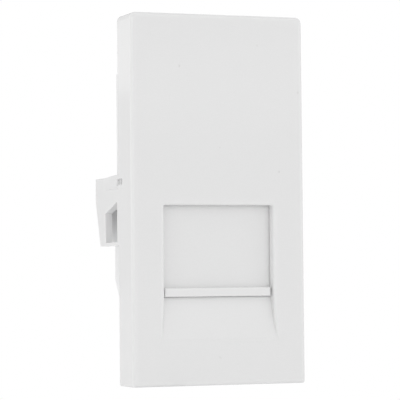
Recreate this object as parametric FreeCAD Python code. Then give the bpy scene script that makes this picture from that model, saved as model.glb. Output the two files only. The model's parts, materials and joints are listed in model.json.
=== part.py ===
import FreeCAD, Part
import math
import os

# Secondary telephone socket: a 25 x 50 mm insert module with a sliding shutter.
# Millimetres. +Z is up, the face looks along -Y, and X runs to the right as the face is seen.
# The origin is the centre of the skirt's rear rim, which seats on the mounting frame.
# A depth is a distance behind the front face, and a height is measured from the plate's middle.

# Face plate
plate_width = 25.0
plate_height = 50.0
skirt_depth = 5.4
skirt_wall = 1.5
front_wall = 1.35
front_edge_round = 0.5
rear_edge_round = 0.1
top_corner_round = 0.85
bottom_corner_round = 0.25

# Opening in the front wall, and the ramp that leads a plug in from below
opening_width = 15.85
opening_height = 12.35
opening_top_height = -0.78
opening_corner_round = 0.3
opening_edge_round = 0.4
ramp_length = 5.97
ramp_flare = 0.3
ramp_runout = 0.42
ramp_runout_depth = 0.05
ledge_land = 0.6
ramp_foot_land = 1.0

# Shutter and the rails that guide it
running_gap = 0.15
seat_gap = 0.05
shutter_thickness = 1.2
shutter_side_lap = 0.75
shutter_top_lap = 2.88
lip_height = 1.2
lip_side_gap = 0.24
lip_setback = 0.5
lip_round = 0.2
lug_height = 1.6
rail_width = 1.35
rail_end_gap = 1.0
rail_overrun = 1.5

# Shutter spring
spring_diameter = 2.3
spring_wire = 0.25
spring_turns = 10
spring_section_sides = 6
spring_gap = 0.2
nib_length = 1.2
nib_gap = 0.25

# Snap hooks that hold the housing in the plate
hook_width = 3.0
hook_thickness = 1.2
hook_spacing = 11.0
hook_gap = 0.05
hook_reach = 0.6
hook_barb = 1.05

# Flexing side clips, one with the skirt
clip_thickness = 1.0
clip_length = 9.4
clip_top_height = 3.65
clip_top_fall = 0.4
clip_knee_length = 5.6
clip_shoulder_height = 0.0
clip_foot_height = -6.1
clip_foot_length = 7.55
clip_step_height = 1.86
clip_step_fall = 0.36
clip_step_cut = 0.3
clip_step_bevel = 0.45
clip_step_run = 6.1
clip_edge_round = 0.12
clip_slit = 0.5
clip_notch_depth = 1.6
clip_notch_length = 2.85
clip_notch_height = 2.1
clip_notch_width = 0.8
clip_notch_cut = 0.6
window_margin = 0.6
window_length = 4.85
window_top_height = -0.13
window_slope = 0.3166
window_foot_height = -5.6

# Socket housing
housing_width = 19.0
housing_top_height = 18.0
housing_back_depth = 14.5
housing_wall = 1.2
housing_floor = 0.8
housing_edge_round = 0.3
lower_back_step = 1.1
lower_step_height = -3.0
lower_bevel_depth = 1.4
lower_bevel_height = 2.1
flange_thickness = 1.1
flange_gap = 0.2
flange_top_lap = 1.6
channel_wall = 0.9

# Wedges on the housing that stop the clips from being bent too far
stop_length = 4.0
stop_land = 0.4
stop_gap = 0.6
stop_top_height = 1.2
stop_foot_height = -5.9

# Plug cavity
plug_rise = 1.03
cavity_width = 13.0
cavity_height = 7.5
cavity_end_wall = 0.8
cavity_roof_wall = 1.0
cavity_mouth_bevel = 0.4
latch_notch_depth = 1.2
latch_notch_height = 3.4
latch_notch_length = 5.5

# Contact springs and their comb
contact_count = 6
contact_pitch = 1.27
contact_width = 0.6
contact_thickness = 0.25
contact_rise = 0.8
contact_front_gap = 0.8
contact_bend_radius = 0.7
contact_dip_angle = 25.0
contact_tongue = 6.0
tail_out = 0.9
comb_width = 10.4
comb_height = 1.6
comb_length = 4.4
comb_lap = 0.8
comb_slot_gap = 0.05

# Circuit board and what holds it
board_thickness = 1.2
board_setback = 0.9
board_gap = 0.15
board_ledge = 0.8
board_foot_drop = 6.3
board_hole_gap = 0.1
stake_diameter = 1.5
stake_spacing = 10.0
stake_drop = 4.0
stake_head_diameter = 2.6
stake_head_height = 0.6
catch_width = 6.0
catch_reach = 0.6
catch_length = 0.75
catch_gap = 0.05

# Terminal blocks and their slotted blades
ways_per_block = 3
way_pitch = 4.0
block_end_margin = 0.5
block_spacing = 2.8
block_width = 5.4
block_height = 7.4
block_top_drop = 1.55
wire_slot_width = 1.2
wire_slot_depth = 5.0
wire_slot_stop = 1.0
wire_slot_mouth = 0.4
way_gap_width = 0.7
way_gap_depth = 2.0
blade_width = 2.6
blade_thickness = 0.5
blade_height = 6.2
blade_gap = 0.08
slit_width = 0.35
slit_depth = 4.2
slit_mouth_width = 1.4
slit_mouth_depth = 0.9
blade_tail_width = 0.8
blade_tail_out = 0.8

# Cutters run past the face that they open by this much
past = 1.0

# Layers, as depths behind the front face
shutter_front = front_wall + running_gap
shutter_back = shutter_front + shutter_thickness
housing_front = shutter_back + running_gap
flange_back = housing_front + flange_thickness
hollow_front = housing_front + housing_wall
board_back = housing_back_depth - board_setback
board_front = board_back - board_thickness
cavity_back = board_front - cavity_end_wall
lower_back = housing_back_depth + lower_back_step
spring_axis_depth = housing_front + spring_gap + spring_diameter / 2
channel_back = housing_front + spring_diameter + 2 * spring_gap
block_back = board_back + block_height

# Heights of the opening, the shutter and the spring
opening_foot = opening_top_height - opening_height
ramp_foot = opening_foot - ramp_length
shutter_foot = opening_foot + seat_gap
shutter_top = opening_top_height + shutter_top_lap
lip_top = shutter_foot + lip_height
shutter_travel = opening_top_height - running_gap - lip_top
lug_foot = shutter_top - lug_height
channel_foot = lug_foot - spring_gap
channel_top = housing_top_height - housing_wall

# Heights of the housing, the plug cavity and the contacts
cavity_floor = opening_foot + plug_rise
cavity_roof = cavity_floor + cavity_height
roof_top = cavity_roof + cavity_roof_wall
housing_foot = cavity_floor - housing_floor
contact_height = roof_top + contact_rise
flange_top = housing_top_height + flange_top_lap
flange_foot = ramp_foot
recess_foot = contact_height - board_foot_drop
board_foot = recess_foot + board_gap
board_top = channel_top - board_gap
block_top = board_top - block_top_drop
block_foot = block_top - ways_per_block * way_pitch - 2 * block_end_margin

# Half widths
half_plate = plate_width / 2
half_opening = opening_width / 2
half_shutter = half_opening + shutter_side_lap
half_rail = half_shutter + running_gap
half_housing = housing_width / 2
half_recess = half_housing - housing_wall
half_hollow = half_recess - board_ledge
half_channel = spring_diameter / 2 + spring_gap
half_slot = comb_width / 2 - comb_lap
blade_x = block_spacing / 2 + block_width / 2


def point(x, depth, height):
    """Point at a side position, a depth behind the front face and a height."""
    return FreeCAD.Vector(x, depth - skirt_depth, height)


def block(x_span, depth_span, height_span):
    """Box between two side positions, two depths and two heights."""
    size = [span[1] - span[0] for span in (x_span, depth_span, height_span)]
    return Part.makeBox(*size, point(x_span[0], depth_span[0], height_span[0]))


def side_prism(outline, x_span):
    """Prism whose outline of (depth, height) points is carried from one side position to another."""
    corners = [point(x_span[0], depth, height) for depth, height in outline]
    face = Part.Face(Part.makePolygon(corners + corners[:1]))
    return face.extrude(FreeCAD.Vector(x_span[1] - x_span[0], 0, 0))


def front_prism(outline, depth_span):
    """Prism whose outline of (x, height) points is carried from one depth to another."""
    corners = [point(x, depth_span[0], height) for x, height in outline]
    face = Part.Face(Part.makePolygon(corners + corners[:1]))
    return face.extrude(FreeCAD.Vector(0, depth_span[1] - depth_span[0], 0))


def upright_prism(outline, height_span):
    """Prism whose (x, depth) outline runs up between two heights."""
    low, high = height_span
    corners = [point(x, depth, low) for x, depth in outline]
    face = Part.Face(Part.makePolygon(corners + corners[:1]))
    return face.extrude(FreeCAD.Vector(0, 0, high - low))


def pin_along_depth(x, height, diameter, depth_span):
    """Round pin that runs from one depth to another."""
    axis = FreeCAD.Vector(0, 1, 0)
    length = depth_span[1] - depth_span[0]
    return Part.makeCylinder(diameter / 2, length, point(x, depth_span[0], height), axis)


def pin_upright(x, depth, diameter, height_span):
    """Round pin that stands between two heights."""
    length = height_span[1] - height_span[0]
    return Part.makeCylinder(diameter / 2, length, point(x, depth, height_span[0]))


def edges_at_depth(shape, depth):
    """Edges of a shape that lie wholly at one depth."""
    level = point(0, depth, 0).y
    reach = Part.Precision.approximation()
    return [edge for edge in shape.Edges
            if abs(edge.BoundBox.YMin - level) < reach and abs(edge.BoundBox.YMax - level) < reach]


def edges_at_side(shape, x):
    """Edges of a shape that lie wholly at one side position."""
    reach = Part.Precision.approximation()
    return [edge for edge in shape.Edges
            if abs(edge.BoundBox.XMin - x) < reach and abs(edge.BoundBox.XMax - x) < reach]


def corner_edges(shape, height):
    """Straight edges along the depth that lie at one height."""
    reach = Part.Precision.approximation()
    along_depth = [edge for edge in shape.Edges
                   if edge.BoundBox.DiagonalLength - edge.BoundBox.YLength < reach]
    return [edge for edge in along_depth if abs(edge.BoundBox.Center.z - height) < reach]


def mirrored(shape):
    """The same shape on the other side of the module."""
    return shape.mirror(FreeCAD.Vector(0, 0, 0), FreeCAD.Vector(1, 0, 0))


def joined(first, others):
    """One clean solid made of a first shape and those that grow out of it."""
    return first.fuse(others).removeSplitter()


def plate_shell():
    """Front wall and skirt as one dished moulding with rounded front edges."""
    half_height = plate_height / 2
    outer = block((-half_plate, half_plate), (0, skirt_depth), (-half_height, half_height))
    outer = outer.makeFillet(top_corner_round, corner_edges(outer, half_height))
    outer = outer.makeFillet(bottom_corner_round, corner_edges(outer, -half_height))
    outer = outer.makeFillet(front_edge_round, edges_at_depth(outer, 0))
    outer = outer.makeFillet(rear_edge_round, edges_at_depth(outer, skirt_depth))
    inner_width = half_plate - skirt_wall
    inner_height = half_height - skirt_wall
    hollow = block((-inner_width, inner_width), (front_wall, skirt_depth + past),
                   (-inner_height, inner_height))
    return outer.cut(hollow)


def opening_space():
    """Space of the opening, which widens below its foot, down past the end of the ramp."""
    end = ramp_foot - past
    half_end = half_opening + ramp_flare * (opening_foot - end) / ramp_length
    plan = [(-half_opening, opening_top_height), (half_opening, opening_top_height),
            (half_opening, opening_foot), (half_end, end), (-half_end, end), (-half_opening, opening_foot)]
    space = front_prism(plan, (-past, front_wall + past))
    corners = corner_edges(space, opening_top_height) + corner_edges(space, end)
    return space.makeFillet(opening_corner_round, corners)


def under_ramp():
    """All that lies behind the ramp: it rises from the opening's foot and runs out softly into the face."""
    behind = front_wall + 2 * past
    below = 2 * past
    in_front = below * ramp_runout_depth / ramp_runout
    outline = [(behind, opening_foot), (front_wall, opening_foot),
               (ramp_runout_depth, ramp_foot + ramp_runout),
               (-in_front, ramp_foot - below), (behind, ramp_foot - below)]
    return side_prism(outline, (-half_plate, half_plate))


def cut_opening(plate):
    """Cut the opening with its front edge rounded, and leave the ramp standing in it."""
    pierced = plate.cut(opening_space())
    reach = half_plate - past
    rim = [edge for edge in edges_at_depth(pierced, 0)
           if edge.BoundBox.XMin > -reach and edge.BoundBox.XMax < reach]
    rounded_space = plate.cut(pierced.makeFillet(opening_edge_round, rim))
    return plate.cut(rounded_space.cut(under_ramp()))


def ramp_back():
    """Wall behind the ramp, whose upper face is the ledge that the shutter comes down to."""
    ledge_back = shutter_back - running_gap
    outline = [(front_wall, opening_foot), (ledge_back, opening_foot),
               (ledge_back, opening_foot - ledge_land), (front_wall, ramp_foot + ramp_foot_land)]
    return side_prism(outline, (-half_rail, half_rail))


def guide_rail():
    """Right-hand rail: it guides the shutter's edge, and the housing's flange seats on its end."""
    heights = (ramp_foot + rail_end_gap, shutter_top + shutter_travel + rail_overrun)
    return block((half_rail, half_rail + rail_width), (front_wall, housing_front), heights)


def snap_hook(x, edge_height, outward):
    """Hook beside one end of the flange: outward is 1 at the upper end and -1 at the lower one."""
    inner = edge_height + outward * hook_gap
    outer = inner + outward * hook_thickness
    tip = edge_height - outward * hook_reach
    catch = flange_back + hook_gap
    outline = [(front_wall, inner), (catch, inner), (catch, tip), (catch + hook_barb, inner),
               (catch + hook_barb, outer), (front_wall, outer)]
    return side_prism(outline, (x - hook_width / 2, x + hook_width / 2))


def clip_window():
    """Outline of the window in a side clip, as (depth, height) points."""
    start = skirt_depth + window_margin
    end = start + window_length
    end_top = window_top_height - window_slope * window_length
    return [(start, window_top_height), (end, end_top),
            (end, window_foot_height), (start, window_foot_height)]


def side_clip():
    """Right-hand clip: a windowed tongue that carries the outer part of the skirt wall backwards."""
    root = skirt_depth - rear_edge_round
    end = skirt_depth + clip_length
    top_end = clip_top_height - clip_top_fall
    outline = [(root, clip_top_height), (skirt_depth + clip_knee_length, top_end), (end, top_end),
               (end, clip_shoulder_height), (skirt_depth + clip_foot_length, clip_foot_height),
               (root, clip_foot_height)]
    x_span = (half_plate - clip_thickness, half_plate)
    tongue = side_prism(outline, x_span)
    tongue = tongue.cut(side_prism(clip_window(), (x_span[0] - past, x_span[1] + past)))
    free_edges = [edge for edge in edges_at_side(tongue, half_plate)
                  if edge.BoundBox.YMax > point(0, skirt_depth, 0).y]
    return tongue.makeFillet(clip_edge_round, free_edges).cut(clip_lead_in())


def clip_lead_in():
    """Sloping cut above the step of the right-hand clip: deepest at the skirt, it runs out flush behind."""
    above = clip_top_height + past
    outer = half_plate + past
    ends = [(skirt_depth, clip_step_height, half_plate - clip_step_cut),
            (skirt_depth + clip_step_run, clip_step_height - clip_step_fall, half_plate)]
    sections = []
    for depth, height, inner in ends:
        drop = (outer - inner) * clip_step_bevel / clip_step_cut
        corners = [point(inner, depth, height), point(inner, depth, above), point(outer, depth, above),
                   point(outer, depth, height - drop)]
        sections.append(Part.makePolygon(corners + corners[:1]))
    return Part.makeLoft(sections, True, True)


def clip_relief():
    """Notch at the root of the right-hand clip, and the slit above it that frees the clip's upper end."""
    outer = half_plate + past
    start = skirt_depth - clip_notch_depth
    notch = block((half_plate - clip_notch_cut, outer), (start, start + clip_notch_length),
                  (clip_notch_height, clip_notch_height + clip_notch_width))
    slit = block((half_plate - clip_thickness, outer), (skirt_depth, skirt_depth + clip_slit),
                 (clip_notch_height, clip_top_height + past))
    return notch.fuse(slit)


def face_plate():
    """Front moulding with the opening, ramp, guide rails, snap hooks and side clips."""
    plate = cut_opening(plate_shell())
    rail = guide_rail()
    clip = side_clip()
    hooks = [snap_hook(side * hook_spacing / 2, height, outward)
             for height, outward in ((flange_top, 1), (flange_foot, -1)) for side in (-1, 1)]
    plate = joined(plate, [ramp_back(), rail, mirrored(rail), clip, mirrored(clip)] + hooks)
    relief = clip_relief()
    return plate.cut([relief, mirrored(relief)])


def shutter():
    """Slide with a finger lip at its foot and a spring lug behind its top."""
    slide = block((-half_shutter, half_shutter), (shutter_front, shutter_back), (shutter_foot, shutter_top))
    half_lip = half_opening - lip_side_gap
    lip = block((-half_lip, half_lip), (lip_setback, shutter_front), (shutter_foot, lip_top))
    lip = lip.makeFillet(lip_round, edges_at_depth(lip, lip_setback))
    half_lug = spring_diameter / 2
    lug = block((-half_lug, half_lug), (shutter_back, spring_axis_depth + half_lug), (lug_foot, shutter_top))
    nib = pin_upright(0, spring_axis_depth, nib_diameter(), (shutter_top, shutter_top + nib_length))
    return joined(slide, [lip, lug, nib])


def nib_diameter():
    """Diameter of the nibs that hold the spring's ends in line."""
    return spring_diameter - 2 * spring_wire - 2 * nib_gap


def shutter_spring():
    """Coil between the shutter's lug and the top of its channel, at rest."""
    length = channel_top - shutter_top - spring_wire
    radius = (spring_diameter - spring_wire) / 2
    helix = Part.makeHelix(length / spring_turns, length, radius)
    angles = [2 * math.pi * side / spring_section_sides for side in range(spring_section_sides)]
    half_wire = spring_wire / 2
    corners = [FreeCAD.Vector(radius + half_wire * math.cos(angle), 0, half_wire * math.sin(angle))
               for angle in angles]
    section = Part.makePolygon(corners + corners[:1])
    coil = Part.Wire(helix).makePipeShell([section], True, True)
    coil.translate(point(0, spring_axis_depth, shutter_top + half_wire))
    return coil


def housing_body():
    """Outer block of the housing with its stepped and bevelled back, and the flange in the skirt."""
    bevel_start = (lower_back, housing_foot + lower_bevel_height)
    bevel_end = (lower_back - lower_bevel_depth, housing_foot)
    outline = [(housing_front, housing_top_height), (housing_back_depth, housing_top_height),
               (housing_back_depth, lower_step_height), (lower_back, lower_step_height),
               bevel_start, bevel_end, (housing_front, housing_foot)]
    body = side_prism(outline, (-half_housing, half_housing))
    front = point(0, housing_front, 0).y
    side_edges = [edge for side in (-half_housing, half_housing) for edge in edges_at_side(body, side)
                  if edge.BoundBox.YMax > front]
    body = body.makeFillet(housing_edge_round, side_edges)
    half_flange = half_plate - skirt_wall - flange_gap
    flange = block((-half_flange, half_flange), (housing_front, flange_back), (flange_foot, flange_top))
    stop = clip_stop()
    return joined(body, [flange, stop, mirrored(stop)])


def clip_stop():
    """Right-hand wedge at the housing's back, which the clip meets if it is pressed in too far."""
    root = half_housing - housing_wall
    tip = half_plate - clip_thickness - stop_gap
    front = housing_back_depth - stop_length
    plan = [(root, front), (half_housing, front), (tip, housing_back_depth - stop_land),
            (tip, housing_back_depth), (root, housing_back_depth)]
    return upright_prism(plan, (stop_foot_height, stop_top_height))


def hollow_out(body):
    """Open the housing from behind: the space over the plug cavity, and the board's recess."""
    space = block((-half_hollow, half_hollow), (hollow_front, board_front + past),
                  (roof_top, channel_top - board_ledge))
    recess = block((-half_recess, half_recess), (board_front, lower_back + past), (recess_foot, channel_top))
    return body.cut([space, recess])


def plug_cavity():
    """Space that takes the plug: cavity, bevelled mouth, latch notch and the slot for the contacts."""
    half = cavity_width / 2
    span = (housing_front - past, cavity_back)
    cavity = block((-half, half), span, (cavity_floor, cavity_roof))
    wide = half + cavity_mouth_bevel
    mouth = [(-wide, housing_front), (wide, housing_front), (half, housing_front + cavity_mouth_bevel),
             (-half, housing_front + cavity_mouth_bevel)]
    lead_in = upright_prism(mouth, (cavity_floor, cavity_roof))
    middle = (cavity_floor + cavity_roof) / 2
    notch = block((half, half + latch_notch_depth),
                  (housing_front - past, housing_front + latch_notch_length),
                  (middle - latch_notch_height / 2, middle + latch_notch_height / 2))
    slot = block((-half_slot, half_slot), (hollow_front, cavity_back), (cavity_roof - past, roof_top))
    return cavity.fuse([lead_in, notch, slot])


def spring_channel(body):
    """Add the walled channel behind the flange, cut it open to the front and give it its upper nib."""
    outer = half_channel + channel_wall
    wall = block((-outer, outer), (housing_front, channel_back + channel_wall),
                 (channel_foot - channel_wall, channel_top))
    groove = block((-half_channel, half_channel), (housing_front - past, channel_back),
                   (channel_foot, channel_top))
    nib = pin_upright(0, spring_axis_depth, nib_diameter(), (channel_top - nib_length, channel_top))
    return joined(body, [wall]).cut(groove).fuse([nib])


def board_stake(x):
    """Stake through the board, with its head formed over on the board's back."""
    height = contact_height - stake_drop
    shank = pin_along_depth(x, height, stake_diameter, (board_front, board_back))
    head = pin_along_depth(x, height, stake_head_diameter, (board_back, board_back + stake_head_height))
    return shank.fuse(head)


def board_catch():
    """Sloped catch under the housing's top wall that keeps the board's upper edge in."""
    start = board_back + catch_gap
    outline = [(start, channel_top), (start, channel_top - catch_reach), (start + catch_length, channel_top)]
    return side_prism(outline, (-catch_width / 2, catch_width / 2))


def socket_housing():
    """Moulded box behind the plate: plug cavity, spring channel and seat for the board."""
    body = spring_channel(hollow_out(housing_body())).cut(plug_cavity())
    stakes = [board_stake(side * stake_spacing / 2) for side in (-1, 1)]
    return joined(body, stakes + [board_catch()])


def contact_x(number):
    """Side position of a contact, counted from 0."""
    return (number - (contact_count - 1) / 2) * contact_pitch


def contact_spring(number):
    """Bent strip: soldered tail, straight run through the comb, front bend and tongue in the cavity."""
    x = contact_x(number) - contact_width / 2
    half = contact_thickness / 2
    bend_depth = hollow_front + contact_front_gap + half + contact_bend_radius
    bend_height = contact_height - contact_bend_radius
    tail_depth = board_back + tail_out
    turn = math.pi - math.radians(contact_dip_angle)
    tongue = FreeCAD.Vector(0, -math.cos(turn), -math.sin(turn)) * contact_tongue

    def face_edges(radius):
        """Edges of the strip's outer or inner face, from the tail to the tongue's tip."""
        stops = [point(x, bend_depth - radius * math.sin(angle), bend_height + radius * math.cos(angle))
                 for angle in (0, turn / 2, turn)]
        tail = point(x, tail_depth, bend_height + radius)
        tip = stops[2] + tongue
        edges = [Part.makeLine(tail, stops[0]), Part.Arc(*stops).toShape(), Part.makeLine(stops[2], tip)]
        return tail, edges, tip

    outer_tail, outer, outer_tip = face_edges(contact_bend_radius + half)
    inner_tail, inner, inner_tip = face_edges(contact_bend_radius - half)
    ends = [Part.makeLine(outer_tip, inner_tip), Part.makeLine(inner_tail, outer_tail)]
    outline = Part.Wire(Part.sortEdges(outer + inner + ends)[0])
    return Part.Face(outline).extrude(FreeCAD.Vector(contact_width, 0, 0))


def contact_comb():
    """Bar on the cavity's roof whose slots hold the strips apart."""
    half = comb_width / 2
    bar = block((-half, half), (board_front - comb_length, board_front), (roof_top, roof_top + comb_height))
    half_slit = contact_width / 2 + comb_slot_gap
    span = (board_front - comb_length - past, board_front + past)
    heights = (contact_height - contact_thickness / 2, roof_top + comb_height + past)
    centres = [contact_x(number) for number in range(contact_count)]
    return bar.cut([block((x - half_slit, x + half_slit), span, heights) for x in centres])


def way_height(way):
    """Height of a terminal way, counted from 0 at the top of its block."""
    return block_top - block_end_margin - way_pitch / 2 - way * way_pitch


def circuit_board():
    """Board in the housing's back, with holes for contacts, blades and stakes."""
    half = half_recess - board_gap
    board = block((-half, half), (board_front, board_back), (board_foot, board_top))
    span = (board_front - past, board_back + past)
    tail_hole = math.hypot(contact_width, contact_thickness) + 2 * board_hole_gap
    holes = [pin_along_depth(contact_x(n), contact_height, tail_hole, span) for n in range(contact_count)]
    stake_hole = stake_diameter + 2 * board_hole_gap
    stake_height = contact_height - stake_drop
    holes += [pin_along_depth(side * stake_spacing / 2, stake_height, stake_hole, span) for side in (-1, 1)]
    half_x = blade_thickness / 2 + board_hole_gap
    half_z = blade_tail_width / 2 + board_hole_gap
    for side in (-1, 1):
        x = side * blade_x
        for way in range(ways_per_block):
            z = way_height(way)
            holes.append(block((x - half_x, x + half_x), span, (z - half_z, z + half_z)))
    return board.cut(holes)


def wire_slot(way):
    """Slot of the right-hand block that a wire is pressed into, with a widening mouth."""
    z = way_height(way)
    half = wire_slot_width / 2
    wide = half + wire_slot_mouth
    foot = block_back - wire_slot_depth
    outline = [(foot, z - half), (block_back - wire_slot_mouth, z - half), (block_back, z - wide),
               (block_back, z + wide), (block_back - wire_slot_mouth, z + half), (foot, z + half)]
    inner = block_spacing / 2
    return side_prism(outline, (inner + wire_slot_stop, inner + block_width + past))


def terminal_block():
    """Right-hand block of terminal ways, castellated at its back."""
    inner = block_spacing / 2
    body = block((inner, inner + block_width), (board_back, block_back), (block_foot, block_top))
    cutters = []
    half_x = blade_thickness / 2 + blade_gap
    half_z = blade_width / 2 + blade_gap
    for way in range(ways_per_block):
        z = way_height(way)
        cutters.append(wire_slot(way))
        cutters.append(block((blade_x - half_x, blade_x + half_x), (board_back - past, block_back + past),
                             (z - half_z, z + half_z)))
    for way in range(ways_per_block - 1):
        z = way_height(way) - way_pitch / 2
        cutters.append(block((inner - past, inner + block_width + past),
                             (block_back - way_gap_depth, block_back + past),
                             (z - way_gap_width / 2, z + way_gap_width / 2)))
    return body.cut(cutters)


def idc_terminal(side, way):
    """Slotted blade that seats on the board, with a tail through it."""
    z = way_height(way)
    half = blade_width / 2
    end = board_back + blade_height
    slit = slit_width / 2
    mouth = slit_mouth_width / 2
    tail = blade_tail_width / 2
    right_half = [(end - slit_depth, z + slit), (end - slit_mouth_depth, z + slit), (end, z + mouth),
                  (end, z + half), (board_back, z + half), (board_back, z + tail),
                  (board_front - blade_tail_out, z + tail)]
    left_half = [(depth, 2 * z - height) for depth, height in reversed(right_half)]
    x = side * blade_x
    return side_prism(right_half + left_half, (x - blade_thickness / 2, x + blade_thickness / 2))


def all_pieces():
    """Every piece of the module by its name."""
    pieces = {
        "face_plate": face_plate(),
        "shutter": shutter(),
        "shutter_spring": shutter_spring(),
        "socket_housing": socket_housing(),
        "contact_comb": contact_comb(),
        "circuit_board": circuit_board(),
        "terminal_block_right": terminal_block(),
        "terminal_block_left": mirrored(terminal_block()),
    }
    for number in range(contact_count):
        pieces[f"contact_spring_{number + 1}"] = contact_spring(number)
    for column, side in enumerate((-1, 1)):
        for way in range(ways_per_block):
            number = column * ways_per_block + way + 1
            pieces[f"idc_terminal_{number}"] = idc_terminal(side, way)
    return pieces


os.makedirs("parts", exist_ok=True)
for name, shape in all_pieces().items():
    shape.exportStep(f"parts/{name}.step")
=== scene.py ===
"""Looks of the secondary telephone socket, a 25 x 50 mm insert with a sprung shutter.

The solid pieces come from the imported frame, in metres: +Z is up, the face looks along -Y and the
origin is the middle of the plate's rear rim. This script stands them in a white light tent, gives
each its finish, and adds what is finer than the solids: the round-wire coil behind the shutter, and
the tracks, pads and solder joints of the circuit board.
"""

import json
import logging
import math
from dataclasses import dataclass
from enum import Enum
from typing import Any

import bpy
import numpy as np
from mathutils import Matrix, Vector

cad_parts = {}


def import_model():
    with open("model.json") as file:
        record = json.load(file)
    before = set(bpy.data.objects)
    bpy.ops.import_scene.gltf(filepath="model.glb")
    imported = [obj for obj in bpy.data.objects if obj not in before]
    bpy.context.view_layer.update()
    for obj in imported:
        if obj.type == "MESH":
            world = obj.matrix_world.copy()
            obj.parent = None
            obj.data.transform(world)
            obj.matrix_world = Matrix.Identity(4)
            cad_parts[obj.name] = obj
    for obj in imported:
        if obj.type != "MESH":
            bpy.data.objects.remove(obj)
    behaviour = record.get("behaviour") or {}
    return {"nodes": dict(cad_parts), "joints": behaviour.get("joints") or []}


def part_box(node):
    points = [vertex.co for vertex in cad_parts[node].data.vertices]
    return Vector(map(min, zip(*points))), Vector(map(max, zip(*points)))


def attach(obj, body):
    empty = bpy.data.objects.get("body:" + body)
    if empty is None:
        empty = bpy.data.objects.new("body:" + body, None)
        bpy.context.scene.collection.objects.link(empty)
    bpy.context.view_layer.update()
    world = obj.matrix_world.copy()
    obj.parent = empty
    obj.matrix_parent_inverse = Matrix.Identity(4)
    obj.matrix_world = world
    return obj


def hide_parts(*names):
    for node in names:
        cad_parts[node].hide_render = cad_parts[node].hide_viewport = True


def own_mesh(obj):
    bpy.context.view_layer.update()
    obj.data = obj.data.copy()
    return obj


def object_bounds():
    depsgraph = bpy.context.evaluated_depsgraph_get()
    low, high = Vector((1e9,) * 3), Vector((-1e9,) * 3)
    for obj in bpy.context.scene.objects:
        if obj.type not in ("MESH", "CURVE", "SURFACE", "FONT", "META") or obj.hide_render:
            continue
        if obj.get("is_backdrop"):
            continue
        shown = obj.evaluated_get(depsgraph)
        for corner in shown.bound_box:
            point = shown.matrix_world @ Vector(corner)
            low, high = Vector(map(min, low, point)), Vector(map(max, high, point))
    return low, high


LOG = logging.getLogger("telephone_socket")
MM = 0.001
Colour = tuple[float, float, float]
Point = tuple[float, float, float]


class Body(Enum):
    """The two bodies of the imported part."""

    MODULE = "module"
    SHUTTER = "shutter"


class Slot(Enum):
    """The record's material slots that added pieces take their finish from."""

    SPRING_STEEL = "spring_steel"
    BLADE_METAL = "blade_metal"
    BOARD_LAMINATE = "board_laminate"


class MeshStock:
    """Points and faces of one piece, gathered patch by patch as whole arrays."""

    def __init__(self) -> None:
        """Starts with no points and no faces."""
        self.points: list[np.ndarray] = []
        self.faces: list[list[int]] = []
        self.count = 0

    def add_tube(self, rings: np.ndarray) -> None:
        """Adds a closed tube: rings of points along a path, with a fan of triangles over each end.

        Face (i, j) joins points j and j + 1 of ring i to those of ring i + 1, and the last point of a
        ring joins its first. Points run anticlockwise about the path's direction, so faces look outwards.

        Args:
            rings: points as an array of shape (rings, points in a ring, 3).
        """
        rows, columns, _ = rings.shape
        caps = rings[[0, -1]].mean(axis=1)
        row, column = np.meshgrid(np.arange(rows - 1), np.arange(columns), indexing="ij")
        following = (column + 1) % columns
        corners = [
            row * columns + column,
            row * columns + following,
            (row + 1) * columns + following,
            (row + 1) * columns + column,
        ]
        quads = np.stack(corners, axis=-1).reshape(-1, 4)
        around = np.arange(columns)
        ahead = (around + 1) % columns
        last = (rows - 1) * columns
        first_pole = np.full(columns, rows * columns)
        first_fan = np.stack([first_pole, ahead, around], axis=-1)
        last_fan = np.stack([first_pole + 1, last + around, last + ahead], axis=-1)
        for part in (quads, first_fan, last_fan):
            self.faces.extend((part + self.count).tolist())
        self.points.append(np.concatenate([rings.reshape(-1, 3), caps]))
        self.count += rows * columns + len(caps)

    def build(self, name: str, smooth: bool) -> bpy.types.Object:
        """Makes the mesh object, at the origin and linked to the scene.

        Args:
            name: the piece's name.
            smooth: whether its faces are shaded smooth.

        Returns:
            The new object.
        """
        mesh = bpy.data.meshes.new(name)
        mesh.from_pydata(np.concatenate(self.points).tolist(), [], self.faces)
        mesh.polygons.foreach_set("use_smooth", np.full(len(mesh.polygons), smooth))
        mesh.validate()
        piece = bpy.data.objects.new(name, mesh)
        bpy.context.scene.collection.objects.link(piece)
        return piece


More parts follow.
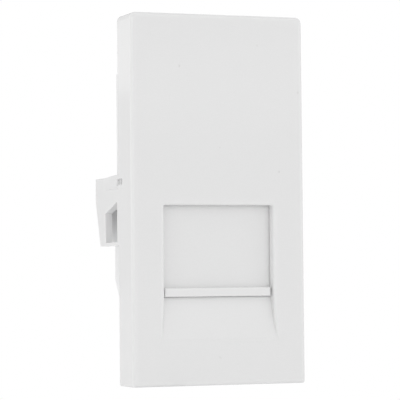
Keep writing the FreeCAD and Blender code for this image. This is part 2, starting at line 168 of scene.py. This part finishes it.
class NodeSheet:
    """A node tree with short ways to add nodes and join their sockets."""

    def __init__(self, tree: bpy.types.NodeTree) -> None:
        """Wraps a tree and clears it."""
        self.tree = tree
        tree.nodes.clear()

    def add(
        self,
        kind: str,
        inputs: dict[str | int, Any] | None = None,
        **settings: Any,
    ) -> bpy.types.Node:
        """Adds a node, sets its properties, and sets or joins its inputs.

        Args:
            kind: the node's type.
            inputs: a value, or another node's output, for each named or numbered input.
            **settings: properties of the node.

        Returns:
            The new node.
        """
        node = self.tree.nodes.new(kind)
        for key, value in settings.items():
            setattr(node, key, value)
        for key, value in (inputs or {}).items():
            socket = node.inputs[key]
            if isinstance(value, bpy.types.NodeSocket):
                self.tree.links.new(value, socket)
            else:
                socket.default_value = value
        return node

    def math(self, operation: str, *terms: Any) -> bpy.types.NodeSocket:
        """Adds a Math node on one to three terms and returns its result."""
        node = self.add("ShaderNodeMath", dict(enumerate(terms)), operation=operation)
        return node.outputs[0]

    def mixed(self, share: Any, first: Any, second: Any) -> bpy.types.NodeSocket:
        """Mixes two colours and returns the mixture.

        Args:
            share: the second colour's share, a number or a socket.
            first: the colour at share 0.
            second: the colour at share 1.

        Returns:
            The socket of the mixed colour.
        """
        factor, colour_a, colour_b, result = 0, 6, 7, 2
        inputs = {factor: share, colour_a: first, colour_b: second}
        return self.add("ShaderNodeMix", inputs, data_type="RGBA").outputs[result]

    def spread(self, value: Any, low: float, high: float) -> bpy.types.NodeSocket:
        """Maps a value from 0 to 1 onto the range from low to high and returns it."""
        inputs = {"Value": value, "To Min": low, "To Max": high}
        return self.add("ShaderNodeMapRange", inputs).outputs["Result"]


def opaque(colour: Colour, brightness: float = 1.0) -> tuple[float, float, float, float]:
    """Returns a colour times a brightness, with full alpha."""
    red, green, blue = (channel * brightness for channel in colour)
    return red, green, blue, 1.0


def bearing(azimuth_deg: float, elevation_deg: float) -> Vector:
    """Works out the direction (sin a cos e, -cos a cos e, sin e) of an azimuth a and an elevation e.

    Args:
        azimuth_deg: the angle round the upright, 0 in front of the face and 90 on its right.
        elevation_deg: the angle above the level.

    Returns:
        The unit vector from the part towards that side.
    """
    azimuth = math.radians(azimuth_deg)
    elevation = math.radians(elevation_deg)
    level = math.cos(elevation)
    return Vector((math.sin(azimuth) * level, -math.cos(azimuth) * level, math.sin(elevation)))


@dataclass(frozen=True)
class Effect:
    """A surface effect that several finishes share: one node group, built on its first use.

    Every effect reads Object coordinates in metres, and puts out one value from 0 to 1.
    """

    name: str
    inputs: tuple[str, ...]

    def wire(self, sheet: NodeSheet, inlet: dict[str, bpy.types.NodeSocket]) -> bpy.types.NodeSocket:
        """Wires the effect and returns its result; each effect has its own."""
        raise NotImplementedError

    def group(self) -> bpy.types.NodeTree:
        """Makes the effect's node group on the first call.

        Returns:
            The node group, the same one on every call.
        """
        found = bpy.data.node_groups.get(self.name)
        if found is not None:
            return found
        tree = bpy.data.node_groups.new(self.name, "ShaderNodeTree")
        sheet = NodeSheet(tree)
        tree.interface.new_socket(name="Vector", in_out="INPUT", socket_type="NodeSocketVector")
        for name in self.inputs:
            tree.interface.new_socket(name=name, in_out="INPUT", socket_type="NodeSocketFloat")
        tree.interface.new_socket(name="Value", in_out="OUTPUT", socket_type="NodeSocketFloat")
        entry = sheet.add("NodeGroupInput")
        inlet = {socket.name: socket for socket in entry.outputs if socket.name}
        sheet.add("NodeGroupOutput", {"Value": self.wire(sheet, inlet)})
        return tree

    def place(
        self,
        sheet: NodeSheet,
        coordinates: bpy.types.NodeSocket,
        *values: float,
    ) -> bpy.types.NodeSocket:
        """Places the effect in a material.

        Args:
            sheet: the material's nodes.
            coordinates: the Object coordinates.
            *values: a number for each of the effect's inputs, in their order.

        Returns:
            The socket of the effect's value.
        """
        node = sheet.add("ShaderNodeGroup", node_tree=self.group())
        sheet.tree.links.new(coordinates, node.inputs["Vector"])
        for name, value in zip(self.inputs, values):
            node.inputs[name].default_value = value
        return node.outputs["Value"]


@dataclass(frozen=True)
class Cloud(Effect):
    """Soft unevenness: smooth noise whose patches are about Size across."""

    name: str = "soft_cloud"
    inputs: tuple[str, ...] = ("Size", "Detail")

    def wire(self, sheet: NodeSheet, inlet: dict[str, bpy.types.NodeSocket]) -> bpy.types.NodeSocket:
        """Wires noise at a scale of 1 / Size.

        Args:
            sheet: the group's nodes.
            inlet: the group's inputs by name.

        Returns:
            The socket of the noise.
        """
        scale = sheet.math("DIVIDE", 1.0, inlet["Size"])
        inputs = {"Vector": inlet["Vector"], "Scale": scale, "Detail": inlet["Detail"]}
        return sheet.add("ShaderNodeTexNoise", inputs).outputs["Fac"]


@dataclass(frozen=True)
class DustSpecks(Effect):
    """Sparse specks: an uneven crumb of dust near the middle of some cells of a random lattice.

    Share is the share of cells that hold a crumb, picked by the cell's own random colour, whose green
    sets the crumb's size, from least_size to 1. Noise of about a crumb's size bends the lattice, so
    that no crumb is round.
    """

    name: str = "dust_specks"
    inputs: tuple[str, ...] = ("Spacing", "Radius", "Share")
    least_size: float = 0.4

    def wire(self, sheet: NodeSheet, inlet: dict[str, bpy.types.NodeSocket]) -> bpy.types.NodeSocket:
        """Wires 1 - distance / (Radius x size), at least 0, where the cell's draw is under Share.

        Args:
            sheet: the group's nodes.
            inlet: the group's inputs by name.

        Returns:
            The socket of the dust's cover, 0 where the surface is bare.
        """
        ripple_scale = sheet.math("DIVIDE", 1.0, inlet["Radius"])
        ripple = sheet.add("ShaderNodeTexNoise", {"Vector": inlet["Vector"], "Scale": ripple_scale})
        bend = sheet.add(
            "ShaderNodeVectorMath",
            {0: ripple.outputs["Color"], "Scale": inlet["Radius"]},
            operation="SCALE",
        )
        bent = sheet.add(
            "ShaderNodeVectorMath",
            {0: inlet["Vector"], 1: bend.outputs["Vector"]},
            operation="ADD",
        )
        scale = sheet.math("DIVIDE", 1.0, inlet["Spacing"])
        cells = sheet.add("ShaderNodeTexVoronoi", {"Vector": bent.outputs["Vector"], "Scale": scale})
        draw = sheet.add("ShaderNodeSeparateColor", {"Color": cells.outputs["Color"]})
        size = sheet.spread(draw.outputs["Green"], self.least_size, 1.0)
        reach = sheet.math("MULTIPLY", size, inlet["Radius"])
        distance = sheet.math("MULTIPLY", cells.outputs["Distance"], inlet["Spacing"])
        nearness = sheet.math("SUBTRACT", 1.0, sheet.math("DIVIDE", distance, reach))
        held = sheet.math("LESS_THAN", draw.outputs["Red"], inlet["Share"])
        return sheet.math("MULTIPLY", sheet.math("MAXIMUM", nearness, 0.0), held)


@dataclass(frozen=True)
class GlassWeave(Effect):
    """Plain weave of the board's glass cloth: two sets of threads at Pitch, over and under each other."""

    name: str = "glass_weave"
    inputs: tuple[str, ...] = ("Pitch",)

    def wire(self, sheet: NodeSheet, inlet: dict[str, bpy.types.NodeSocket]) -> bpy.types.NodeSocket:
        """Wires 0.5 + 0.5 sin(2 pi x / Pitch) sin(2 pi z / Pitch).

        Args:
            sheet: the group's nodes.
            inlet: the group's inputs by name.

        Returns:
            The socket of the weave's height.
        """
        place = sheet.add("ShaderNodeSeparateXYZ", {"Vector": inlet["Vector"]})
        wave = []
        for axis in ("X", "Z"):
            turns = sheet.math("DIVIDE", place.outputs[axis], inlet["Pitch"])
            wave.append(sheet.math("SINE", sheet.math("MULTIPLY", turns, math.tau)))
        return sheet.math("MULTIPLY_ADD", sheet.math("MULTIPLY", *wave), 0.5, 0.5)


CLOUD = Cloud()
DUST_SPECKS = DustSpecks()
GLASS_WEAVE = GlassWeave()


@dataclass(frozen=True)
class Finish:
    """A surface finish with a name, made into one material on its first use."""

    name: str

    def wire(self, sheet: NodeSheet, coordinates: bpy.types.NodeSocket) -> bpy.types.Node:
        """Wires the finish and returns its shader node; each finish has its own."""
        raise NotImplementedError

    def material(self) -> bpy.types.Material:
        """Makes the finish's material on the first call.

        Returns:
            The material, the same one on every call.
        """
        found = bpy.data.materials.get(self.name)
        if found is not None:
            return found
        made = bpy.data.materials.new(self.name)
        made.use_nodes = True
        sheet = NodeSheet(made.node_tree)
        coordinates = sheet.add("ShaderNodeTexCoord").outputs["Object"]
        shader = self.wire(sheet, coordinates)
        sheet.add("ShaderNodeOutputMaterial", {"Surface": shader.outputs["BSDF"]})
        return made

    def dress(self, piece: bpy.types.Object) -> None:
        """Gives a piece this finish in every one of its material slots.

        Args:
            piece: the mesh object to dress.
        """
        if not piece.material_slots:
            piece.data.materials.append(self.material())
        for slot in piece.material_slots:
            slot.material = self.material()
        LOG.info("%s wears %s", piece.name, self.name)


@dataclass(frozen=True)
class MouldedPlastic(Finish):
    """Glossy moulded plastic: a faint cloudiness, a very fine grain with painted shade in its pits, and a
    few specks of dust.

    Light scatters a little way under the skin of a white plastic, which softens its small shadows.
    """

    colour: Colour = (0.90, 0.90, 0.90)
    cloud_size: float = 7.0 * MM
    cloud_depth: float = 0.012
    cloud_detail: float = 1.0
    roughness: float = 0.09
    roughness_spread: float = 0.03
    grain_size: float = 0.16 * MM
    grain_detail: float = 2.0
    grain_height: float = 0.0004 * MM
    # painted shade in the grain's pits: how much darker the colour is where the grain is lowest
    pit_shade_depth: float = 0.05
    dust_spacing: float = 2.9 * MM
    dust_radius: float = 0.42 * MM
    dust_share: float = 0.15
    dust_colour: Colour = (0.74, 0.74, 0.73)
    refraction: float = 1.48
    scatter_share: float = 0.55
    scatter_depth: float = 0.4 * MM

    def wire(self, sheet: NodeSheet, coordinates: bpy.types.NodeSocket) -> bpy.types.Node:
        """Wires the plastic.

        Cloud tints the colour, grain darkens it where it is low as painted shade in its pits, dust covers
        it, and grain moves the gloss and the normal.

        Args:
            sheet: the material's nodes.
            coordinates: the Object coordinates.

        Returns:
            The shader node.
        """
        cloud = CLOUD.place(sheet, coordinates, self.cloud_size, self.cloud_detail)
        grain = CLOUD.place(sheet, coordinates, self.grain_size, self.grain_detail)
        dust = DUST_SPECKS.place(sheet, coordinates, self.dust_spacing, self.dust_radius, self.dust_share)
        shaded = opaque(self.colour, 1.0 - self.cloud_depth)
        tone = sheet.mixed(cloud, opaque(self.colour), shaded)
        # painted shade: the colour is darker where the grain is low, in its pits
        pit_shaded_colour = sheet.mixed(grain, opaque(self.colour, 1.0 - self.pit_shade_depth), tone)
        low = self.roughness - self.roughness_spread
        high = self.roughness + self.roughness_spread
        relief = sheet.add("ShaderNodeBump", {"Height": grain, "Distance": self.grain_height})
        inputs = {
            "Base Color": sheet.mixed(dust, pit_shaded_colour, opaque(self.dust_colour)),
            "Roughness": sheet.spread(grain, low, high),
            "Normal": relief.outputs["Normal"],
            "IOR": self.refraction,
            "Subsurface Weight": self.scatter_share,
            "Subsurface Radius": (1.0, 1.0, 1.0),
            "Subsurface Scale": self.scatter_depth,
        }
        return sheet.add("ShaderNodeBsdfPrincipled", inputs)


@dataclass(frozen=True)
class PlatedMetal(Finish):
    """Stamped or drawn metal with a plated skin: fine rolling grain and uneven gloss."""

    colour: Colour = (0.72, 0.72, 0.70)
    tarnish: Colour = (0.60, 0.59, 0.56)
    tarnish_size: float = 0.9 * MM
    tarnish_detail: float = 3.0
    roughness: float = 0.26
    roughness_spread: float = 0.08
    grain_size: float = 0.05 * MM
    grain_detail: float = 2.0
    grain_height: float = 0.0008 * MM

    def wire(self, sheet: NodeSheet, coordinates: bpy.types.NodeSocket) -> bpy.types.Node:
        """Wires the metal.

        Cloud mixes bright and tarnished metal and moves the gloss, and grain moves the normal.

        Args:
            sheet: the material's nodes.
            coordinates: the Object coordinates.

        Returns:
            The shader node.
        """
        cloud = CLOUD.place(sheet, coordinates, self.tarnish_size, self.tarnish_detail)
        grain = CLOUD.place(sheet, coordinates, self.grain_size, self.grain_detail)
        low = self.roughness - self.roughness_spread
        high = self.roughness + self.roughness_spread
        relief = sheet.add("ShaderNodeBump", {"Height": grain, "Distance": self.grain_height})
        inputs = {
            "Base Color": sheet.mixed(cloud, opaque(self.colour), opaque(self.tarnish)),
            "Roughness": sheet.spread(cloud, low, high),
            "Normal": relief.outputs["Normal"],
            "Metallic": 1.0,
        }
        return sheet.add("ShaderNodeBsdfPrincipled", inputs)


@dataclass(frozen=True)
class BoardResist(Finish):
    """Green solder resist over woven glass laminate, whose bare fibres show at the board's edges."""

    colour: Colour = (0.020, 0.150, 0.060)
    edge_colour: Colour = (0.330, 0.340, 0.170)
    weave_pitch: float = 0.55 * MM
    weave_height: float = 0.006 * MM
    weave_depth: float = 0.14
    cloud_size: float = 3.0 * MM
    cloud_detail: float = 2.0
    least_facing: float = 0.5
    roughness: float = 0.30
    roughness_spread: float = 0.06

    def wire(self, sheet: NodeSheet, coordinates: bpy.types.NodeSocket) -> bpy.types.Node:
        """Wires the resist.

        The weave tints and embosses it, cloud moves its gloss, and faces that look less than least_facing
        along Y show the laminate.

        Args:
            sheet: the material's nodes.
            coordinates: the Object coordinates.

        Returns:
            The shader node.
        """
        weave = GLASS_WEAVE.place(sheet, coordinates, self.weave_pitch)
        cloud = CLOUD.place(sheet, coordinates, self.cloud_size, self.cloud_detail)
        resist = sheet.mixed(weave, opaque(self.colour), opaque(self.colour, 1.0 + self.weave_depth))
        geometry = sheet.add("ShaderNodeNewGeometry")
        facing = sheet.add("ShaderNodeSeparateXYZ", {"Vector": geometry.outputs["Normal"]})
        flat = sheet.math("GREATER_THAN", sheet.math("ABSOLUTE", facing.outputs["Y"]), self.least_facing)
        low = self.roughness - self.roughness_spread
        high = self.roughness + self.roughness_spread
        relief = sheet.add("ShaderNodeBump", {"Height": weave, "Distance": self.weave_height})
        inputs = {
            "Base Color": sheet.mixed(flat, opaque(self.edge_colour), resist),
            "Roughness": sheet.spread(cloud, low, high),
            "Normal": relief.outputs["Normal"],
        }
        return sheet.add("ShaderNodeBsdfPrincipled", inputs)


FACE_WHITE = MouldedPlastic("glossy_face_white")
SHUTTER_WHITE = MouldedPlastic("glossy_shutter_white", colour=(0.902, 0.902, 0.902), roughness=0.11)
HOUSING_WHITE = MouldedPlastic(
    "moulded_housing_white",
    colour=(0.92, 0.92, 0.925),
    roughness=0.40,
    grain_height=0.003 * MM,
    scatter_share=0.95,
    scatter_depth=1.4 * MM,
)
TERMINAL_WHITE = MouldedPlastic(
    "moulded_terminal_ivory",
    colour=(0.84, 0.83, 0.79),
    roughness=0.40,
    grain_height=0.003 * MM,
)
COMB_BLACK = MouldedPlastic(
    "moulded_comb_black",
    colour=(0.022, 0.022, 0.024),
    roughness=0.46,
    grain_height=0.004 * MM,
    dust_colour=(0.06, 0.06, 0.06),
    scatter_share=0.0,
)
SPRING_WIRE = PlatedMetal("drawn_spring_wire", colour=(0.62, 0.62, 0.61), tarnish=(0.46, 0.45, 0.43))
CONTACT_GOLD = PlatedMetal("gold_plated_strip", colour=(0.83, 0.60, 0.25), tarnish=(0.74, 0.50, 0.20))
BLADE_TIN = PlatedMetal("tinned_blade", colour=(0.70, 0.70, 0.69), tarnish=(0.58, 0.57, 0.55))
SOLDER_TIN = PlatedMetal(
    "bright_solder",
    colour=(0.74, 0.74, 0.73),
    tarnish=(0.62, 0.62, 0.60),
    roughness=0.2,
)
RESIST_GREEN = BoardResist("green_resist")
TRACK_GREEN = BoardResist("green_resist_on_copper", colour=(0.045, 0.235, 0.085), weave_depth=0.05)


@dataclass(frozen=True)
class ProductView:
    """Camera of a product picture: a long lens, a little below the middle, turned to the left side."""

    azimuth_deg: float = -21.6235
    elevation_deg: float = -1.9915
    roll_deg: float = -0.5634
    distance: float = 300.52 * MM
    aim: Point = (-2.3922 * MM, -4.4375 * MM, -0.0627 * MM)
    lens_mm: float = 200.72
    sensor_mm: float = 36.0
    near_share: float = 0.1
    far_share: float = 100.0

    def axes(self) -> tuple[Vector, Vector, Vector]:
        """Works out the camera's directions.

        back is the camera's bearing, right = (cos a, sin a, 0) at azimuth a, and up = back x right, with
        right and up then turned about back by the roll.

        Returns:
            The right, up and back directions.
        """
        azimuth = math.radians(self.azimuth_deg)
        roll = math.radians(self.roll_deg)
        back = bearing(self.azimuth_deg, self.elevation_deg)
        flat_right = Vector((math.cos(azimuth), math.sin(azimuth), 0.0))
        flat_up = back.cross(flat_right)
        right = math.cos(roll) * flat_right + math.sin(roll) * flat_up
        up = back.cross(right)
        return right, up, back

    def build(self) -> None:
        """Makes the camera and sets it as the scene's own."""
        right, up, back = self.axes()
        lens = bpy.data.cameras.new("product_camera")
        lens.lens = self.lens_mm
        lens.sensor_width = self.sensor_mm
        lens.clip_start = self.distance * self.near_share
        lens.clip_end = self.distance * self.far_share
        camera = bpy.data.objects.new("product_camera", lens)
        turned = Matrix((right, up, back)).transposed().to_4x4()
        camera.matrix_world = Matrix.Translation(Vector(self.aim) + back * self.distance) @ turned
        bpy.context.scene.collection.objects.link(camera)
        bpy.context.scene.camera = camera


@dataclass(frozen=True)
class SoftBox:
    """An oblong studio lamp behind a diffuser, hung at a bearing from the part and aimed at it."""

    name: str
    azimuth_deg: float
    elevation_deg: float
    width: float
    height: float
    radiance: float
    distance: float = 1.2

    def build(self, aim: Vector) -> None:
        """Hangs the lamp and turns it to a point; its power is pi x area x radiance.

        Args:
            aim: the point that it lights.
        """
        outward = bearing(self.azimuth_deg, self.elevation_deg)
        lamp = bpy.data.lights.new(self.name, "AREA")
        lamp.shape = "RECTANGLE"
        lamp.size = self.width
        lamp.size_y = self.height
        lamp.energy = math.pi * self.width * self.height * self.radiance
        holder = bpy.data.objects.new(self.name, lamp)
        holder.location = aim + outward * self.distance
        holder.rotation_mode = "QUATERNION"
        holder.rotation_quaternion = (-outward).to_track_quat("-Z", "Y")
        bpy.context.scene.collection.objects.link(holder)


STUDIO_LAMPS = (
    SoftBox("front_softbox", -25.0, 12.0, width=0.8, height=0.8, radiance=0.40),
    SoftBox("front_left_softbox", -55.0, 8.0, width=0.6, height=0.6, radiance=0.56),
    SoftBox("left_softbox", -80.0, 10.0, width=0.7, height=0.7, radiance=0.24),
    SoftBox("front_right_softbox", 50.0, 8.0, width=0.6, height=0.6, radiance=0.3),
    SoftBox("right_softbox", 78.0, 10.0, width=0.5, height=0.5, radiance=0.47),
    SoftBox("upper_right_softbox", 40.0, 45.0, width=0.8, height=0.8, radiance=0.3),
    SoftBox("rear_left_softbox", -125.0, 15.0, width=0.9, height=0.9, radiance=0.56),
    SoftBox("band_mirrored_by_face", 21.6, 5.66, width=0.6, height=0.052, radiance=0.4),
    SoftBox("band_mirrored_by_ramp", 24.3, 26.3, width=0.6, height=0.2, radiance=0.54),
    SoftBox("band_mirrored_by_side", -158.4, 6.7, width=0.6, height=0.05, radiance=0.38),
)


@dataclass(frozen=True)
class LightTent:
    """White surroundings: an even sky, a pale lit floor that the part stands on, and soft lamps.

    The picture shows the sky and the floor as plain white, while the part is lit by a dimmer tent.
    """

    sky: float = 0.716
    floor_side: float = 6.0
    floor_colour: Colour = (0.55, 0.55, 0.55)
    floor_roughness: float = 0.9
    floor_glow: float = 0.375
    white: Colour = (1.0, 1.0, 1.0)
    lamps: tuple[SoftBox, ...] = STUDIO_LAMPS

    def build(self, low: Vector, high: Vector) -> None:
        """Builds the surroundings of a part.

        Args:
            low: the lowest corner of the part's box.
            high: the highest corner of the part's box.
        """
        scene = bpy.context.scene
        scene.view_settings.view_transform = "Standard"
        world = bpy.data.worlds.new("white_tent")
        world.use_nodes = True
        sheet = NodeSheet(world.node_tree)
        dim = sheet.add("ShaderNodeBackground", {"Color": opaque(self.white), "Strength": self.sky})
        bright = sheet.add("ShaderNodeBackground", {"Color": opaque(self.white), "Strength": 1.0})
        seen = self.as_seen(sheet, dim.outputs["Background"], bright.outputs["Background"])
        sheet.add("ShaderNodeOutputWorld", {"Surface": seen})
        scene.world = world
        self.lay_floor(low.z)
        for lamp in self.lamps:
            lamp.build((low + high) / 2.0)

    def as_seen(
        self,
        sheet: NodeSheet,
        lighting: bpy.types.NodeSocket,
        picture: bpy.types.NodeSocket,
    ) -> bpy.types.NodeSocket:
        """Uses one shader for what lights the part and another for what the picture shows."""
        straight = sheet.add("ShaderNodeLightPath").outputs["Is Camera Ray"]
        return sheet.add("ShaderNodeMixShader", {0: straight, 1: lighting, 2: picture}).outputs["Shader"]

    def lay_floor(self, height: float) -> None:
        """Lays the lit white floor.

        Args:
            height: the floor's height.
        """
        reach = self.floor_side / 2.0
        corners = np.array([(-1, -1, 0), (1, -1, 0), (1, 1, 0), (-1, 1, 0)]) * reach
        corners[:, 2] = height
        mesh = bpy.data.meshes.new("pale_floor")
        mesh.from_pydata(corners.tolist(), [], [[0, 1, 2, 3]])
        floor = bpy.data.objects.new("pale_floor", mesh)
        bpy.context.scene.collection.objects.link(floor)
        material = bpy.data.materials.new("lit_white_floor")
        material.use_nodes = True
        sheet = NodeSheet(material.node_tree)
        inputs = {
            "Base Color": opaque(self.floor_colour),
            "Roughness": self.floor_roughness,
            "Emission Color": opaque(self.white),
            "Emission Strength": self.floor_glow,
        }
        pale = sheet.add("ShaderNodeBsdfPrincipled", inputs)
        plain = sheet.add("ShaderNodeEmission", {"Color": opaque(self.white), "Strength": 1.0})
        seen = self.as_seen(sheet, pale.outputs["BSDF"], plain.outputs["Emission"])
        sheet.add("ShaderNodeOutputMaterial", {"Surface": seen})
        mesh.materials.append(material)
        floor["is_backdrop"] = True


@dataclass
class FrontFace:
    """The face plate with its clips, and the shutter that closes its opening."""

    nodes: dict[str, bpy.types.Object]

    def build(self) -> None:
        """Dresses the two white mouldings."""
        FACE_WHITE.dress(self.nodes["face_plate"])
        SHUTTER_WHITE.dress(self.nodes["shutter"])


@dataclass
class ShutterReturn:
    """The compression coil that pushes the shutter shut: round wire with a closed turn at each end."""

    joint: dict[str, Any]
    wire_diameter: float = 0.25 * MM
    free_turns: int = 10
    closed_turns: int = 1
    steps_per_turn: int = 36
    points_round_wire: int = 12

    def centre_line(self, low: Vector, high: Vector) -> tuple[np.ndarray, np.ndarray]:
        """Works out the middle of the wire.

        The wire turns at an even rate on a circle. It climbs by one wire diameter in a closed turn and
        evenly in the free turns, so height is a broken line in the angle, rounded at its corners.

        Args:
            low: the lowest corner of the coil's box.
            high: the highest corner of the coil's box.

        Returns:
            The points and their unit directions, two arrays of shape (n, 3).
        """
        turns = self.free_turns + 2 * self.closed_turns
        turn = np.linspace(0.0, turns, turns * self.steps_per_turn + 1)
        radius = (high.x - low.x - self.wire_diameter) / 2.0
        foot = low.z + self.wire_diameter / 2.0
        top = high.z - self.wire_diameter / 2.0
        closed_rise = self.closed_turns * self.wire_diameter
        knots = [0.0, self.closed_turns, turns - self.closed_turns, turns]
        heights = [foot, foot + closed_rise, top - closed_rise, top]
        half_window = self.steps_per_turn // 2
        climb = np.interp(turn, knots, heights)
        padded = np.pad(climb, half_window, mode="reflect", reflect_type="odd")
        window = np.ones(2 * half_window + 1) / (2 * half_window + 1)
        angle = math.tau * turn
        middle = (low + high) / 2.0
        points = np.stack(
            [
                middle.x + radius * np.cos(angle),
                middle.y + radius * np.sin(angle),
                np.convolve(padded, window, mode="valid"),
            ],
            axis=-1,
        )
        along = np.gradient(points, axis=0)
        return points, along / np.linalg.norm(along, axis=1, keepdims=True)

    def build(self) -> None:
        """Carries a circle along the wire's middle and hands the coil over to the frame.

        Point (u, v) = middle(u) + r (outward(u) cos v + across(u) sin v), with outward level and away
        from the coil's axis, made square to the wire, and across = direction x outward.
        """
        low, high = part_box("shutter_spring")
        points, along = self.centre_line(low, high)
        axis = np.array((low + high) / 2.0)
        outward = points - axis
        outward[:, 2] = 0.0
        outward -= along * np.sum(outward * along, axis=1, keepdims=True)
        outward /= np.linalg.norm(outward, axis=1, keepdims=True)
        across = np.cross(along, outward)
        angle = np.linspace(0.0, math.tau, self.points_round_wire, endpoint=False)[None, :, None]
        section = outward[:, None] * np.cos(angle) + across[:, None] * np.sin(angle)
        stock = MeshStock()
        stock.add_tube(points[:, None] + self.wire_diameter / 2.0 * section)
        coil = stock.build("shutter_coil", smooth=True)
        SPRING_WIRE.dress(coil)
        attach(coil, Body.MODULE.value)
        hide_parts("shutter_spring")
        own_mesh(coil)
        LOG.info("shutter_coil stands for shutter_spring")


@dataclass
class PlugSocket:
    """The housing behind the plate, with the comb and the six contacts that reach into its cavity."""

    nodes: dict[str, bpy.types.Object]
    contact_count: int = 6

    def build(self) -> None:
        """Dresses the housing, the comb and the contacts."""
        HOUSING_WHITE.dress(self.nodes["socket_housing"])
        COMB_BLACK.dress(self.nodes["contact_comb"])
        for number in range(1, self.contact_count + 1):
            CONTACT_GOLD.dress(self.nodes[f"contact_spring_{number}"])


TRACK_ROUTES_MM: tuple[tuple[tuple[float, float], ...], ...] = (
    ((-3.175, -2.8), (-3.175, -1.2), (-5.6, 1.2), (-5.6, 3.1), (-4.1, 4.6)),
    ((-1.905, -2.8), (-1.905, -0.6), (-3.2, 0.7), (-3.2, 7.7), (-4.1, 8.6)),
    ((-0.635, -2.8), (-0.635, 11.0), (-2.2, 12.6), (-4.1, 12.6)),
    ((0.635, -2.8), (0.635, 3.0), (2.2, 4.6), (4.1, 4.6)),
    ((1.905, -2.8), (1.905, 0.4), (3.2, 1.7), (3.2, 7.7), (4.1, 8.6)),
    ((3.175, -2.8), (3.175, -1.6), (7.5, 2.7), (7.5, 11.8), (6.7, 12.6), (4.1, 12.6)),
)


@dataclass
class WiringBoard:
    """The circuit board with its tracks and solder joints, and its terminal blocks and blades."""

    nodes: dict[str, bpy.types.Object]
    blade_count: int = 6
    contact_count: int = PlugSocket.contact_count
    block_names: tuple[str, ...] = ("terminal_block_left", "terminal_block_right")
    track_width: float = 0.45 * MM
    track_top_share: float = 0.7
    track_lift: float = 0.045 * MM
    sunk: float = 0.02 * MM
    pad_half: tuple[float, float] = (0.48 * MM, 0.78 * MM)
    pad_lift: float = 0.035 * MM
    tail_half: tuple[float, float] = (0.33 * MM, 0.155 * MM)
    tail_thickness: float = 0.25 * MM
    solder_rise: float = 0.55 * MM
    solder_power: float = 3.0
    solder_rings: int = 9
    points_round_pad: int = 28

    def build(self) -> None:
        """Dresses the board, the blocks and the blades, and lays the tracks and the solder."""
        RESIST_GREEN.dress(self.nodes["circuit_board"])
        for name in self.block_names:
            TERMINAL_WHITE.dress(self.nodes[name])
        for number in range(1, self.blade_count + 1):
            BLADE_TIN.dress(self.nodes[f"idc_terminal_{number}"])
        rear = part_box("circuit_board")[1].y
        self.lay_tracks(rear)
        self.solder_tails(rear)

    def track(self, route: np.ndarray, rear: float) -> np.ndarray:
        """Carries a track's low trapezium along its route on the board.

        Corner k of the route gets the mitre (a + b) / (1 + a.b) of the sideways directions a and b of the
        runs that meet there, so that the track keeps its width round each corner.

        Args:
            route: (x, z) points in metres, an array of shape (n, 2).
            rear: depth of the board's rear face.

        Returns:
            Points of shape (n, 4, 3): each corner's trapezium, anticlockwise about the route.
        """
        run = np.diff(route, axis=0)
        run /= np.linalg.norm(run, axis=1, keepdims=True)
        sideways = np.stack([run[:, 1], -run[:, 0]], axis=-1)
        before = np.concatenate([sideways[:1], sideways])
        after = np.concatenate([sideways, sideways[-1:]])
        mitre = (before + after) / (1.0 + np.sum(before * after, axis=1, keepdims=True))
        half = self.track_width / 2.0
        across = np.array([half, half * self.track_top_share, -half * self.track_top_share, -half])
        depth = rear + np.array([-self.sunk, self.track_lift, self.track_lift, -self.sunk])
        flat = route[:, None] + mitre[:, None] * across[None, :, None]
        depths = np.broadcast_to(depth, flat.shape[:2])
        return np.stack([flat[..., 0], depths, flat[..., 1]], axis=-1)

    def lay_tracks(self, rear: float) -> None:
        """Lays the copper tracks from the contacts to the blades, under the resist.

        Args:
            rear: depth of the board's rear face.
        """
        stock = MeshStock()
        for route in TRACK_ROUTES_MM:
            stock.add_tube(self.track(np.array(route) * MM, rear))
        tracks = stock.build("board_tracks", smooth=False)
        TRACK_GREEN.dress(tracks)
        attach(tracks, Body.MODULE.value)
        LOG.info("board_tracks lie on circuit_board")

    def solder_joint(self, x: float, z: float, rear: float) -> np.ndarray:
        """Works out a solder joint: an oval pad and a hollow cone from its edge up to the contact.

        Ring s from 0 to 1 is a superellipse |x / a|^p + |z / b|^p = 1 whose half widths a and b go evenly
        from the pad's to the tail's, at a height that grows with s squared.

        Args:
            x: the tail's middle across the board.
            z: the tail's middle up the board.
            rear: depth of the board's rear face.

        Returns:
            Points of shape (rings, points, 3), anticlockwise about the depth axis.
        """
        step = np.linspace(0.0, 1.0, self.solder_rings)
        share = np.concatenate([[0.0], step])
        height = np.concatenate([[-self.sunk], self.pad_lift + self.solder_rise * step**2])
        angle = np.linspace(0.0, math.tau, self.points_round_pad, endpoint=False)
        half = np.outer(1.0 - share, self.pad_half) + np.outer(share, self.tail_half)
        exponent = 2.0 / self.solder_power
        turn_x = np.sign(np.sin(angle)) * np.abs(np.sin(angle)) ** exponent
        turn_z = np.sign(np.cos(angle)) * np.abs(np.cos(angle)) ** exponent
        depths = np.broadcast_to(rear + height[:, None], (len(share), len(angle)))
        return np.stack([x + half[:, :1] * turn_x, depths, z + half[:, 1:] * turn_z], axis=-1)

    def solder_tails(self, rear: float) -> None:
        """Solders the six contact tails where they come through the board.

        Args:
            rear: depth of the board's rear face.
        """
        stock = MeshStock()
        for number in range(1, self.contact_count + 1):
            low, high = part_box(f"contact_spring_{number}")
            height = high.z - self.tail_thickness / 2.0
            stock.add_tube(self.solder_joint((low.x + high.x) / 2.0, height, rear))
        solder = stock.build("contact_solder", smooth=True)
        SOLDER_TIN.dress(solder)
        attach(solder, Body.MODULE.value)
        LOG.info("contact_solder holds the six contact tails")


def main() -> None:
    """Loads the frame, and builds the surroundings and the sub-assemblies."""
    logging.basicConfig(level=logging.INFO, format="%(name)s: %(message)s")
    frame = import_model()
    solid_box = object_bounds()
    ProductView().build()
    LightTent().build(*solid_box)
    nodes = frame["nodes"]
    FrontFace(nodes).build()
    ShutterReturn(frame["joints"][0]).build()
    PlugSocket(nodes).build()
    WiringBoard(nodes).build()


if __name__ == "__main__":
    main()
